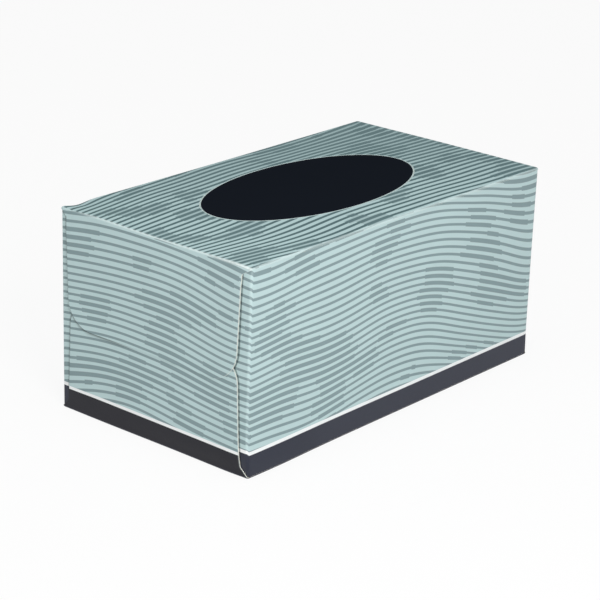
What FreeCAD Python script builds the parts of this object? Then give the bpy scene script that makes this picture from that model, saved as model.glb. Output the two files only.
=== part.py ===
# Flat facial tissue carton, unopened: one die-cut board blank, folded and glued shut.
# Frame: millimetres, +X along the carton, the long front at -Y, +Z up, origin at the centre of the base.
import FreeCAD, Part
import os
import Sketcher

# Driving sizes in millimetres, each written once
SIZES = {
    # Folded carton
    "carton_length": 230.0,  # over the lapped flaps of both ends
    "carton_width": 124.0,  # front to back
    "carton_height": 106.5,  # base to the long top edges
    "crown": 1.2,  # rise of the top panel's middle above those edges
    "board": 0.45,  # thickness of the board
    "fold_radius": 1.0,  # outside of the creased folds
    "corner_radius": 2.0,  # outside of the four upright folds, where the dust flaps turn in
    "lap_reveal": 1.6,  # height of the back panel's raw edge above the base, over its glue lap
    # End flaps
    "flap_shift": 1.3,  # both wide flaps sit this far towards the back
    "hinge_inset": 0.8,  # from the panel's corner to the end of a wide flap's fold
    "shoulder_rise": 4.0,  # height over which a wide flap narrows beside its fold
    "shoulder_radius": 2.0,  # easing of that shoulder
    "lower_flap_reach": 55.5,  # base to its free edge
    "lower_fold_half": 57.8,  # half its width past the shoulders
    "lower_free_half": 55.6,  # half its width at the free edge, corners left square
    "lower_corner": 8.0,  # radius of its free corners
    "flap_lap": 9.5,  # how far the upper flap hangs over the lower one
    "upper_fold_half": 57.4,  # half its width past the shoulders
    "upper_free_half": 54.7,  # half its width at the free edge, corners left square
    "upper_corner": 8.5,  # radius of its free corners
    "upper_skew": 1.2,  # drift of its free edge towards the back
    # Tear-out oval in the top panel
    "oval_length": 143.4,  # middle to middle of the slits
    "oval_width": 74.2,
    "slit_length": 2.6,
    "slit_tie": 1.0,  # uncut board between two slits
    "slit_width": 0.35,
}

doc = FreeCAD.newDocument("TissueCarton")
sheet = doc.addObject("Spreadsheet::Sheet", "Sizes")
for row, (alias, value) in enumerate(SIZES.items(), start=1):
    sheet.set(f"A{row}", alias)
    sheet.set(f"B{row}", str(value))
    sheet.setAlias(f"B{row}", alias)
doc.recompute()

# Places that several features share, as expressions on the sheet
HALF_WIDTH = "Sizes.carton_width / 2"
OUTER_END = "Sizes.carton_length / 2"
FOLD_END = "(Sizes.carton_length / 2 - Sizes.board)"
DUST_END = "(Sizes.carton_length / 2 - 2 * Sizes.board)"
TOP_FOLD = "(Sizes.carton_height - Sizes.fold_radius)"
SEAM = "(Sizes.lower_flap_reach - Sizes.flap_lap)"

carton = doc.addObject("PartDesign::Body", "Carton")
carton.Label = "tissue_carton"


def sketch_on(name, role, offset="0"):
    """A sketch on one of the body's origin planes, moved along the plane's normal."""
    sketch = carton.newObject("Sketcher::SketchObject", name)
    plane = next(f for f in carton.Origin.OriginFeatures if f.Role == role)
    sketch.AttachmentSupport = [(plane, "")]
    sketch.MapMode = "FlatFace"
    sketch.setExpression("AttachmentOffset.Base.z", offset)
    doc.recompute()
    return sketch


def place_point(sketch, line, across, up):
    """Holds the start of a line at two expressions."""
    for kind, place in (("DistanceX", across), ("DistanceY", up)):
        value = float(sketch.evalExpression(place))
        index = sketch.addConstraint(Sketcher.Constraint(kind, -1, 1, line, 1, value))
        sketch.setExpression(f"Constraints[{index}]", place)


def vertex(sketch, across, up):
    """The point that two expressions give."""
    return FreeCAD.Vector(float(sketch.evalExpression(across)), float(sketch.evalExpression(up)), 0)


def draw_outline(sketch, corners):
    """A closed outline. Each corner is (across, up) or (across, up, radius), all expressions."""
    first = sketch.GeometryCount
    points = [vertex(sketch, corner[0], corner[1]) for corner in corners]
    count = len(points)
    sketch.addGeometry([Part.LineSegment(points[i], points[(i + 1) % count]) for i in range(count)])
    for i in range(count):
        sketch.addConstraint(Sketcher.Constraint("Coincident", first + i, 2, first + (i + 1) % count, 1))
        place_point(sketch, first + i, corners[i][0], corners[i][1])
    for i, corner in enumerate(corners):
        if len(corner) == 3:
            round_corner(sketch, first + i, corner[2])
    doc.recompute()


def round_corner(sketch, line, radius):
    """Rounds the corner where a line starts, and keeps the square corner as a point."""
    value = float(sketch.evalExpression(radius))
    arc = sketch.GeometryCount
    sketch.fillet(line, 1, value, True, True)
    index = sketch.addConstraint(Sketcher.Constraint("Radius", arc, value))
    sketch.setExpression(f"Constraints[{index}]", radius)


def draw_section(sketch):
    """The sleeve's section: flat base, upright sides and a bowed top."""
    low_front = vertex(sketch, f"-{HALF_WIDTH}", "0")
    low_back = vertex(sketch, HALF_WIDTH, "0")
    top_back = vertex(sketch, HALF_WIDTH, "Sizes.carton_height")
    top_front = vertex(sketch, f"-{HALF_WIDTH}", "Sizes.carton_height")
    apex = vertex(sketch, "0", "Sizes.carton_height + Sizes.crown")
    base, back, top, front, middle = range(5)
    sketch.addGeometry(
        [
            Part.LineSegment(low_front, low_back),
            Part.LineSegment(low_back, top_back),
            Part.Arc(top_back, apex, top_front),
            Part.LineSegment(top_front, low_front),
        ]
    )
    sketch.addGeometry(Part.Point(apex), True)
    for line, following in ((base, back), (back, top), (top, front), (front, base)):
        sketch.addConstraint(Sketcher.Constraint("Coincident", line, 2, following, 1))
    place_point(sketch, base, f"-{HALF_WIDTH}", "0")
    place_point(sketch, back, HALF_WIDTH, "0")
    place_point(sketch, front, f"-{HALF_WIDTH}", "Sizes.carton_height")
    place_point(sketch, top, HALF_WIDTH, "Sizes.carton_height")
    place_point(sketch, middle, "0", "Sizes.carton_height + Sizes.crown")
    sketch.addConstraint(Sketcher.Constraint("PointOnObject", middle, 1, top))
    doc.recompute()


def pad(name, sketch, length):
    """Board laid on the -X end, outwards from its sketch."""
    feature = carton.newObject("PartDesign::Pad", name)
    feature.Profile = sketch
    feature.setExpression("Length", length)
    feature.Reversed = True
    return finish(feature, grows=True)


def pocket(name, sketch, length, reverse=False, both_ways=False):
    """A cut against its sketch's normal, with it, or both ways."""
    feature = carton.newObject("PartDesign::Pocket", name)
    feature.Profile = sketch
    feature.setExpression("Length", length)
    feature.Reversed = reverse
    feature.Midplane = both_ways
    return finish(feature, grows=False)


def finish(feature, grows):
    """Recomputes and checks that the feature changed the volume the right way."""
    before = feature.BaseFeature.Shape.Volume
    doc.recompute()
    change = feature.Shape.Volume - before
    if (change > 0) != grows:
        raise RuntimeError(f"{feature.Name} changed the volume by {change:.3f} cubic mm")
    feature.Profile[0].Visibility = False
    return feature


# Sleeve: four panels round the length, up to the folds of the wide end flaps
section = sketch_on("SleeveSection", "YZ_Plane")
draw_section(section)
sleeve = carton.newObject("PartDesign::Pad", "Sleeve")
sleeve.Profile = section
sleeve.setExpression("Length", f"2 * {FOLD_END}")
sleeve.Midplane = True
doc.recompute()

folds = carton.newObject("PartDesign::Fillet", "Folds")
folds.Base = (sleeve, ["Edge1"])
folds.UseAllEdges = True
folds.setExpression("Radius", "Sizes.fold_radius")
doc.recompute()

# Glue lap: the back panel's raw edge stops above the base, over a lap turned up from the bottom panel
lap_face = f"({HALF_WIDTH} - Sizes.board)"
lap_seam = sketch_on("LapSeamOutline", "YZ_Plane")
draw_outline(
    lap_seam,
    [
        (f"{HALF_WIDTH} + Sizes.board", "-Sizes.board"),
        (f"{HALF_WIDTH} + Sizes.board", "Sizes.lap_reveal"),
        (lap_face, "Sizes.lap_reveal"),
        (lap_face, "0", "Sizes.fold_radius"),
        (f"{lap_face} - Sizes.fold_radius - Sizes.board", "0"),
        (f"{lap_face} - Sizes.fold_radius - Sizes.board", "-Sizes.board"),
    ],
)
pocket("LapSeam", lap_seam, "Sizes.carton_length", both_ways=True)

# Dust flaps: the narrow flaps of the side panels lie two boards inside the outermost flap
dust_outline = sketch_on("DustFlapsOutline", "YZ_Plane", f"-{DUST_END}")
dust_side = f"({HALF_WIDTH} + Sizes.board)"
draw_outline(
    dust_outline,
    [
        (f"-{dust_side}", "Sizes.fold_radius"),
        (dust_side, "Sizes.fold_radius"),
        (dust_side, TOP_FOLD),
        (f"-{dust_side}", TOP_FOLD),
    ],
)
dust_flaps = pocket("DustFlaps", dust_outline, "2 * Sizes.board")

# Upright folds, where the front and back panels turn into the dust flaps
corner_outline = sketch_on("UprightFoldsOutline", "XY_Plane", "Sizes.fold_radius")
corner_arm = "(Sizes.corner_radius + Sizes.board)"
for side in ("-", ""):
    draw_outline(
        corner_outline,
        [
            (f"-{OUTER_END}", f"{side}({HALF_WIDTH} - {corner_arm})"),
            (f"-{DUST_END}", f"{side}({HALF_WIDTH} - {corner_arm})"),
            (f"-{DUST_END}", f"{side}({HALF_WIDTH})", "Sizes.corner_radius"),
            (f"-{DUST_END} + {corner_arm}", f"{side}({HALF_WIDTH})"),
            (f"-{DUST_END} + {corner_arm}", f"{side}({HALF_WIDTH} + Sizes.board)"),
            (f"-{OUTER_END}", f"{side}({HALF_WIDTH} + Sizes.board)"),
        ],
    )
upright_folds = pocket("UprightFolds", corner_outline, f"{TOP_FOLD} - Sizes.fold_radius", reverse=True)


def draw_flap(sketch, fold, shoulder, free_edge, fold_half, free_half, free_shift, corner):
    """A wide flap: full width at its fold, shoulders, slightly tapered sides and rounded free corners."""
    hinge = f"({HALF_WIDTH} - Sizes.hinge_inset)"
    draw_outline(
        sketch,
        [
            (f"-{hinge}", fold),
            (f"Sizes.flap_shift - {fold_half}", shoulder, "Sizes.shoulder_radius"),
            (f"{free_shift} - {free_half}", free_edge, corner),
            (f"{free_shift} + {free_half}", free_edge, corner),
            (f"Sizes.flap_shift + {fold_half}", shoulder, "Sizes.shoulder_radius"),
            (hinge, fold),
        ],
    )


# Upper flap: outermost, a sheet that runs out from the top fold to lap over the lower flap
upper_outline = sketch_on("UpperFlapOutline", "YZ_Plane", f"-{DUST_END}")
draw_flap(
    upper_outline,
    fold=TOP_FOLD,
    shoulder=f"{TOP_FOLD} - Sizes.shoulder_rise",
    free_edge=SEAM,
    fold_half="Sizes.upper_fold_half",
    free_half="Sizes.upper_free_half",
    free_shift="(Sizes.flap_shift + Sizes.upper_skew)",
    corner="Sizes.upper_corner",
)
upper_flap = pad("UpperFlap", upper_outline, "2 * Sizes.board")

slope_outline = sketch_on("FlapSlopeOutline", "XZ_Plane")
draw_outline(
    slope_outline,
    [
        (f"-{FOLD_END}", TOP_FOLD),
        (f"-{OUTER_END}", "Sizes.lower_flap_reach"),
        (f"-{OUTER_END} - Sizes.board", "Sizes.lower_flap_reach"),
        (f"-{OUTER_END} - Sizes.board", TOP_FOLD),
    ],
)
flap_slope = pocket("FlapSlope", slope_outline, "Sizes.carton_width", both_ways=True)

# Air under the sloping flap, down to its free edge: the lower flap fills the lap afterwards
air_outline = sketch_on("FlapAirOutline", "XZ_Plane")
draw_outline(
    air_outline,
    [
        (f"-{DUST_END}", TOP_FOLD),
        (f"-{FOLD_END}", "Sizes.lower_flap_reach"),
        (f"-{FOLD_END}", SEAM),
        (f"-{DUST_END}", SEAM),
    ],
)
flap_air = pocket("FlapAir", air_outline, "Sizes.carton_width", both_ways=True)

# Lower flap: flat on the dust flaps, its free edge glued under the upper flap
lower_outline = sketch_on("LowerFlapOutline", "YZ_Plane", f"-{DUST_END}")
draw_flap(
    lower_outline,
    fold="Sizes.fold_radius",
    shoulder="Sizes.fold_radius + Sizes.shoulder_rise",
    free_edge="Sizes.lower_flap_reach",
    fold_half="Sizes.lower_fold_half",
    free_half="Sizes.lower_free_half",
    free_shift="Sizes.flap_shift",
    corner="Sizes.lower_corner",
)
lower_flap = pad("LowerFlap", lower_outline, "Sizes.board")

# The +X end closes the same way
other_end = carton.newObject("PartDesign::Mirrored", "OtherEnd")
other_end.Originals = [dust_flaps, upright_folds, upper_flap, flap_slope, flap_air, lower_flap]
mirror_plane = next(f for f in carton.Origin.OriginFeatures if f.Role == "YZ_Plane")
other_end.MirrorPlane = (mirror_plane, [""])
carton.Tip = other_end
doc.recompute()

# Tear line: slits through the board round the oval, with ties between them
oval = Part.Ellipse(FreeCAD.Vector(), sheet.oval_length / 2, sheet.oval_width / 2)
round_trip = oval.length()
slit_count = round(round_trip / (sheet.slit_length + sheet.slit_tie))
slit_sketch = sketch_on("TearLineOutline", "XY_Plane", "Sizes.carton_height + Sizes.crown")
for index in range(slit_count):
    at = oval.parameterAtDistance(round_trip * index / slit_count, 0)
    centre = oval.value(at)
    along = FreeCAD.Vector(oval.tangent(at)[0]).normalize() * (sheet.slit_length / 2)
    across = FreeCAD.Vector(-along.y, along.x, 0).normalize() * (sheet.slit_width / 2)
    ends = [centre - along - across, centre + along - across, centre + along + across, centre - along + across]
    slit_sketch.addGeometry([Part.LineSegment(ends[i], ends[(i + 1) % 4]) for i in range(4)])
pocket("TearLine", slit_sketch, "Sizes.crown + Sizes.board")

failed = [item.Name for item in doc.Objects if {"Invalid", "Error"} & set(item.State)]
if failed:
    raise RuntimeError(f"these failed: {failed}")
shape = carton.Shape
if shape.isNull() or not shape.isValid() or len(shape.Solids) != 1:
    raise RuntimeError(f"{carton.Label} isn't one valid solid")
os.makedirs("parts", exist_ok=True)
shape.exportStep(f"parts/{carton.Label}.step")
print(f"{carton.Label}: {shape.BoundBox}, {shape.Volume / 1000:.1f} cubic cm, {slit_count} slits")
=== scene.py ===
# Facial tissue carton, unopened: printed board, glued end flaps and a tear-out oval
import math
import bpy
from mathutils import Matrix, Vector


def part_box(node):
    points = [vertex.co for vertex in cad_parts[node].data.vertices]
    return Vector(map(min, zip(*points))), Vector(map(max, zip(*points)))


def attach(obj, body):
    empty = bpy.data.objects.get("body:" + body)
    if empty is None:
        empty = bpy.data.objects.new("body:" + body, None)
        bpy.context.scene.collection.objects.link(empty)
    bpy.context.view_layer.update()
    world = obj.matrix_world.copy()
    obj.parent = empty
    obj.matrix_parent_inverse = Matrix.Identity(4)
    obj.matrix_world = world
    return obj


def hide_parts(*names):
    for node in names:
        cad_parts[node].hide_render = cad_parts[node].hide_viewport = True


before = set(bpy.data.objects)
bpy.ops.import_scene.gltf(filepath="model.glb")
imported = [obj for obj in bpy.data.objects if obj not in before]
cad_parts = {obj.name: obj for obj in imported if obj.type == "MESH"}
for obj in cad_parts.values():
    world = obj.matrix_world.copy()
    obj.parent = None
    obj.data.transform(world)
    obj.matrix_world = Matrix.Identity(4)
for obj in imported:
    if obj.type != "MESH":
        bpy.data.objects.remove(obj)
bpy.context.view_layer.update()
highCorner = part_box("tissue_carton")[1]  # the carton stands centred on the frame's origin
mm = 0.001  # the shapes below are worked out in millimetres

carton = {
    "halfLength": highCorner.x / mm,  # over the lapped flaps of both ends
    "halfWidth": highCorner.y / mm,
    "crown": 1.2,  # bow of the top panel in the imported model
    "board": 0.45,
    "foldRadius": 1.0,
    "cornerRadius": 1.4,  # upright folds
    "ledge": 0.04,  # height of the small steps, so that no two rings lie on each other
    "sharpAngle": 35,  # steeper edges are shaded sharp
}
carton["height"] = highCorner.z / mm - carton["crown"]
carton["foldEnd"] = carton["halfLength"] - carton["board"]
carton["dustEnd"] = carton["halfLength"] - 2 * carton["board"]
carton["topFold"] = carton["height"] - carton["foldRadius"]

# How handling has left the carton
settle = {
    "crown": 0.1,  # bow left in the top panel at the far end, and none at the near one
    "crownFade": 45,  # the bow runs out this far down the end panels
    "crownEdge": 2,  # and is full from this far below the top
    "sag": 0.5,  # the near end stands this much lower than the far one
    "backSag": 0.5,  # and the back this much lower than the front, halfway along
    "backEnds": 0.4,  # share of that at its two ends
    "dents": [  # place, depth and reach of what is pressed down, or up, along the top's edges
        ((-103.5, 62.0), 1.0, 7),
        ((-115.0, 62.0), -0.7, 5),
        ((-115.0, 36.0), -0.7, 20),
    ],
    "crush": 0.7,  # near top corner, pressed down and in
    "crushReach": 6,
    "crushAcross": 0.7,  # share of it that goes across the carton
    "footPush": 1.25,  # near bottom corner, pushed in along the carton
    "footReach": 11,
    "footRoll": 1.0,  # foot of the near end, rolled in over its fold
    "rollReach": 6,
    "rollFade": (-30, 44),  # across the end, where the roll runs out towards the back
    "twist": 0.7,  # at the back the near end leans, in at the foot and out at the top
    "twistLevel": 0.55,  # share of the height at which that lean changes sides
    "twistPower": 3,  # how fast it runs out along the carton
    "farLean": 0.5,  # the far end stands out over its lower half
    "leanFade": (20, 70),  # heights between which that runs out
    "farFlare": 0.8,  # and more at its foot
    "flareReach": 12,
    "farRun": 30,
    "bulge": 0.35,  # side panels pushed out by the stack inside
    "bulgePower": 8,  # so high that little more than the side panels move
    "frontSwell": 0.8,  # foot of the front, pushed out beside the near corner
    "swellPlace": -92,
    "swellRun": 28,
    "swellReach": 15,
}


def smooth(low, high, value):
    share = min(1.0, max(0.0, (value - low) / (high - low)))
    return share * share * (3 - 2 * share)


def mix(a, b, share):
    return a + (b - a) * share


def falloff(distance, reach, power=2):
    # 1 on the spot, running out over the reach
    return math.exp(-(distance / reach) ** power)


def settled(x, y, z):
    # moves a point of the square carton to where handling has left it
    height, halfLength, halfWidth = carton["height"], carton["halfLength"], carton["halfWidth"]
    along = (x + halfLength) / (2 * halfLength)
    across = min(1.0, abs(y) / halfWidth)
    crown = settle["crown"] * along * (1 - across ** 2)
    lift = crown * smooth(height - settle["crownFade"], height - settle["crownEdge"], z)
    for place, depth, reach in settle["dents"]:
        lift -= depth * falloff(math.dist((x, y, z), (*place, height)), reach)
    backSag = settle["backSag"] * mix(settle["backEnds"], 1, math.sin(math.pi * along))
    lift -= (settle["sag"] * (1 - along) + backSag * smooth(0, halfWidth, y)) * z / height
    fromTopCorner = math.dist((x, y, z), (-halfLength, -halfWidth, height))
    fromFootCorner = math.dist((x, y, z), (-halfLength, -halfWidth, 0))
    crush = settle["crush"] * falloff(fromTopCorner, settle["crushReach"])
    push = settle["footPush"] * falloff(fromFootCorner, settle["footReach"])
    roll = settle["footRoll"] * falloff(math.hypot(x + halfLength, z), settle["rollReach"])
    push = math.hypot(push, roll * (1 - smooth(*settle["rollFade"], y)))
    lean = settle["twist"] * 2 * (settle["twistLevel"] - z / height) * smooth(-halfWidth, halfWidth, y)
    push += lean * (1 - along) ** settle["twistPower"]
    flare = settle["farLean"] * (1 - smooth(*settle["leanFade"], z))
    flare += settle["farFlare"] * falloff(z, settle["flareReach"])
    push += flare * falloff(halfLength - x, settle["farRun"])
    swell = settle["bulge"] * math.cos(math.pi * x / (2 * halfLength)) * math.sin(math.pi * z / height)
    if y < 0:
        beside = math.hypot((x - settle["swellPlace"]) / settle["swellRun"], z / settle["swellReach"])
        swell += settle["frontSwell"] * falloff(beside, 1)
    side = math.copysign(across ** settle["bulgePower"], y)
    place = (x + crush + push, y + crush * settle["crushAcross"] + swell * side, z + lift - crush)
    return Vector(place) * mm


# Sleeve: rings from the middle of the base, up the walls and over the top panel to the middle of the oval
sleeve = {
    "slits": 97,
    "slitLength": 2.6,
    "slitPitch": 3.6,
    "slitWidth": 0.35,
    "slitDepth": 0.4,
    "slitBevel": 0.06,
    "ovalHalfLength": 71.7,
    "ovalHalfWidth": 37.1,
    "ovalMargin": 0.4,  # from the slits to the first ring round them
    "cornerSteps": 6,  # the steps of one lap add up to four points a slit
    "longSteps": 114,
    "endSteps": 68,
    "foldSteps": 5,
    "foldCorner": 1.2,  # corner radius of the base and top rings, in fold radii
    "wallStep": 3.2,
    "footLevels": (2.2, 3.2),  # closer rings above the base
    "headLevels": (2.8, 1.4, 0.6),  # and below the top fold
    "topShares": (0.012, 0.03, 0.06, 0.1, 0.16, 0.24, 0.34, 0.46, 0.6, 0.74, 0.86, 0.95),
    "ovalShares": (0.97, 0.88, 0.74, 0.58, 0.42, 0.27, 0.14, 0.05),
    "baseShares": (0.06, 0.2, 0.4, 0.6, 0.8, 0.93, 0.985),
}
glueLap = {
    "reveal": 1.6,  # raw edge of the back panel above the base
    "edge": 0.05,  # half the height of the step there
    "endFade": 3,  # the step runs out over this much at the two ends
    "startShare": 0.6,  # and across the base from this share of its half width
    "backBand": 1,  # faces this near to the back's own face show the raw edge
}
ringCount = sleeve["slits"] * 4  # four points to each slit and its tie


def planRing(halfLength, halfWidth, radius):
    # one lap round a rounded rectangle, from the +X end of the back corner on the right
    points = []
    spanX, spanY = halfLength - radius, halfWidth - radius
    corners = [(spanX, spanY), (-spanX, spanY), (-spanX, -spanY), (spanX, -spanY)]
    for turn, (cx, cy) in enumerate(corners):
        for step in range(sleeve["cornerSteps"] + 1):
            angle = math.radians(90 * (turn + step / sleeve["cornerSteps"]))
            points.append(Vector((cx + radius * math.cos(angle), cy + radius * math.sin(angle))))
        nextX, nextY = corners[(turn + 1) % 4]
        angle = math.radians(90 * (turn + 1))
        start = points[-1]
        end = Vector((nextX + radius * math.cos(angle), nextY + radius * math.sin(angle)))
        steps = sleeve["endSteps"] if turn % 2 else sleeve["longSteps"]
        points += [start.lerp(end, step / steps) for step in range(1, steps)]
    return points


def ovalTable(samples=4000):
    # length run round the oval up to each of some evenly spaced angles
    a, b = sleeve["ovalHalfLength"], sleeve["ovalHalfWidth"]
    lengths, run = [0.0], 0.0
    for index in range(samples):
        p, q = (2 * math.pi * (index + k) / samples for k in (0, 1))
        run += math.dist((a * math.cos(p), b * math.sin(p)), (a * math.cos(q), b * math.sin(q)))
        lengths.append(run)
    return lengths


ovalRun = ovalTable()


def ovalPoint(share, grow=0.0, scale=1.0):
    # a point at a share of the way round the oval, moved out by grow
    target = (share % 1.0) * ovalRun[-1]
    lowIndex, highIndex = 0, len(ovalRun) - 1
    while highIndex - lowIndex > 1:
        middle = (lowIndex + highIndex) // 2
        lowIndex, highIndex = (middle, highIndex) if ovalRun[middle] <= target else (lowIndex, middle)
    part = (target - ovalRun[lowIndex]) / (ovalRun[highIndex] - ovalRun[lowIndex])
    angle = 2 * math.pi * (lowIndex + part) / (len(ovalRun) - 1)
    a, b = sleeve["ovalHalfLength"], sleeve["ovalHalfWidth"]
    outward = Vector((b * math.cos(angle), a * math.sin(angle))).normalized()
    return (Vector((a * math.cos(angle), b * math.sin(angle))) + outward * grow) * scale


def ovalRing(grow=0.0, scale=1.0, even=True):
    # the same count of points as planRing, starting beside its first corner
    start = sleeve["endSteps"] / 2 / ringCount
    places = [0, sleeve["slitBevel"], sleeve["slitLength"] - sleeve["slitBevel"], sleeve["slitLength"]]
    ring = []
    for index in range(ringCount):
        slit, corner = divmod(index, 4)
        within = corner / 4 if even else places[corner] / sleeve["slitPitch"]
        ring.append(ovalPoint(start + (slit + within) / sleeve["slits"], grow, scale))
    return ring


wallRing = planRing(carton["dustEnd"], carton["halfWidth"], carton["cornerRadius"])
wrapRun = [0.0]  # length run round the wall, which lays the print on it as on the flat blank
for first, second in zip(wallRing, wallRing[1:] + wallRing[:1]):
    wrapRun.append(wrapRun[-1] + (second - first).length)
wrapLength = wrapRun[-1]
nearCornerIndex = 2 * (sleeve["cornerSteps"] + 1) + sleeve["longSteps"] + sleeve["endSteps"] - 2
nearCornerIndex += sleeve["cornerSteps"] // 2  # the middle of the near upright fold
wrapRun = [run - wrapRun[nearCornerIndex] for run in wrapRun]

# paleness along the folds: partly print rubbed off, partly a painted highlight where the folds catch the
# light
wearAndHighlightMarks = {
    "endFold": 0.74,  # how pale the end folds are, halfway across: print worn off, and a painted highlight
    "endTilt": 0.003,  # paler towards the front, for each millimetre
    "endReach": 1.15,
    "endPower": 4,
    "endWiden": 0.5,  # added to the reach at the front corner
    "widenRun": (30, 60),
    "endSquash": 1.6,  # narrower down the end than along the top
    "backQuiet": 0.8,  # share that is missing beside the near end's back corner
    "quietRun": (44, 53),
    "sideFold": 0.5,
    "sideReach": 0.65,
    # the upright folds' pale line is mostly a painted highlight, with some wear
    "upright": 0.22,
    "uprightReach": 0.7,
    "uprightFade": 4,  # above the foot band
    "cutEdge": 0.5,
    "cutReach": 0.3,
}


def edgeWearAndHighlight(x, y, z):
    # how pale the folds are: print rubbed off by handling, and a painted highlight along them
    endGap = carton["halfLength"] - abs(x)
    sideGap = carton["halfWidth"] - abs(y)
    topGap = carton["height"] - z
    reach = wearAndHighlightMarks["endReach"] + wearAndHighlightMarks["endWiden"] * smooth(*wearAndHighlightMarks["widenRun"], -y)
    fromFold = math.hypot(endGap, topGap * wearAndHighlightMarks["endSquash"])
    endFold = wearAndHighlightMarks["endFold"] - wearAndHighlightMarks["endTilt"] * y
    endFold *= falloff(fromFold, reach, wearAndHighlightMarks["endPower"])
    if x < 0:
        endFold *= 1 - wearAndHighlightMarks["backQuiet"] * smooth(*wearAndHighlightMarks["quietRun"], y)
    sideFold = wearAndHighlightMarks["sideFold"] * falloff(math.hypot(sideGap, topGap), wearAndHighlightMarks["sideReach"])
    fromUpright = math.hypot(carton["dustEnd"] - abs(x), sideGap)
    upright = wearAndHighlightMarks["upright"] * falloff(fromUpright, wearAndHighlightMarks["uprightReach"])
    upright *= smooth(wallPrint["bandTop"], wallPrint["bandTop"] + wearAndHighlightMarks["uprightFade"], z)
    return max(endFold, sideFold, upright)


def makeMesh(name, points, faces, materials, faceMaterials, uvs, wearAndHighlight):
    mesh = bpy.data.meshes.new(name)
    mesh.from_pydata([settled(*point) for point in points], [], faces)
    for material in materials:
        mesh.materials.append(material)
    mesh.polygons.foreach_set("material_index", faceMaterials)
    blank = mesh.uv_layers.new(name="blank")
    blank.data.foreach_set("uv", [value for face in uvs for corner in face for value in corner])
    wornAndHighlit = mesh.attributes.new("wearAndHighlight", "FLOAT", "POINT")
    wornAndHighlit.data.foreach_set("value", wearAndHighlight)
    mesh.polygons.foreach_set("use_smooth", [True] * len(faces))
    mesh.set_sharp_from_angle(angle=math.radians(carton["sharpAngle"]))
    mesh.update()
    piece = bpy.data.objects.new(name, mesh)
    bpy.context.scene.collection.objects.link(piece)
    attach(piece, "root")
    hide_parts("tissue_carton")


def sleeveRings():
    # (ring, heights, zone): the zone names the face strip from this ring to the next
    height, radius, top = carton["height"], carton["foldRadius"], carton["topFold"]
    halfWidth = carton["halfWidth"]
    rings = []

    def add(ring, z, zone):
        heights = z if isinstance(z, list) else [z] * len(ring)
        rings.append((ring, heights, zone))

    def foldRing(angle):
        inset = radius * (1 - math.cos(angle))
        return planRing(carton["foldEnd"] - inset, halfWidth - inset, radius * sleeve["foldCorner"])

    baseRing = foldRing(math.pi / 2)
    for share in sleeve["baseShares"]:
        add([point * share for point in baseRing], 0.0, "base")
    for step in range(sleeve["foldSteps"] + 1):
        angle = math.pi / 2 * (1 - step / sleeve["foldSteps"])
        zone = "wall" if step < sleeve["foldSteps"] else "raw"
        add(foldRing(angle), radius * (1 - math.sin(angle)), zone)
    foot, head = sleeve["footLevels"], sleeve["headLevels"]
    lapLow, lapHigh = glueLap["reveal"] - glueLap["edge"], glueLap["reveal"] + glueLap["edge"]
    count = round((top - foot[1] - head[0]) / sleeve["wallStep"])
    levels = [radius + carton["ledge"], lapLow, lapHigh, foot[0]]
    levels += [mix(foot[1], top - head[0], step / count) for step in range(count + 1)]
    levels += [top - head[1], top - head[2], top - carton["ledge"]]
    for z in levels:
        zone = {lapLow: "lapEdge", levels[-1]: "raw"}.get(z, "wall")
        add(planRing(carton["dustEnd"], halfWidth, carton["cornerRadius"]), z, zone)
    for step in range(sleeve["foldSteps"] + 1):
        angle = math.pi / 2 * step / sleeve["foldSteps"]
        zone = "wall" if step < sleeve["foldSteps"] / 2 else "top"
        add(foldRing(angle), top + radius * math.sin(angle), zone)
    slit = sleeve["slitWidth"] / 2
    outer, ovalOuter = foldRing(math.pi / 2), ovalRing(slit + sleeve["ovalMargin"])
    for share in sleeve["topShares"]:
        add([a.lerp(b, share) for a, b in zip(outer, ovalOuter)], height, "top")
    sunk = [height - sleeve["slitDepth"] if index % 4 in (1, 2) else height for index in range(ringCount)]
    add(ovalRing(slit, even=False), height, "slit")
    add(ovalRing(slit - sleeve["slitBevel"], even=False), sunk, "slitFloor")
    add(ovalRing(sleeve["slitBevel"] - slit, even=False), sunk, "slit")
    add(ovalRing(-slit, even=False), height, "top")
    for share in sleeve["ovalShares"]:
        add(ovalRing(scale=share), height, "top")
    return rings


def lapInset(x, y, z):
    # below the raw edge of the back panel its glue lap lies one board further in
    if z < glueLap["reveal"] and y > 0:
        fade = smooth(0, glueLap["endFade"], carton["dustEnd"] - abs(x))
        return carton["board"] * fade * smooth(glueLap["startShare"], 1.0, y / carton["halfWidth"])
    return 0.0


printStep = {  # the print sits higher on the dust flaps than on the side panels
    "front": 1.2,
    "back": 0.2,
    "start": 0.3,  # before the upright fold's round
    "end": 0.1,  # before the dust flap's face
}


def printHeight(x, y, z):
    step = printStep["front"] if y < 0 else printStep["back"]
    start = carton["dustEnd"] - carton["cornerRadius"] - printStep["start"]
    return z - step * smooth(start, carton["dustEnd"] - printStep["end"], abs(x))


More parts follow.
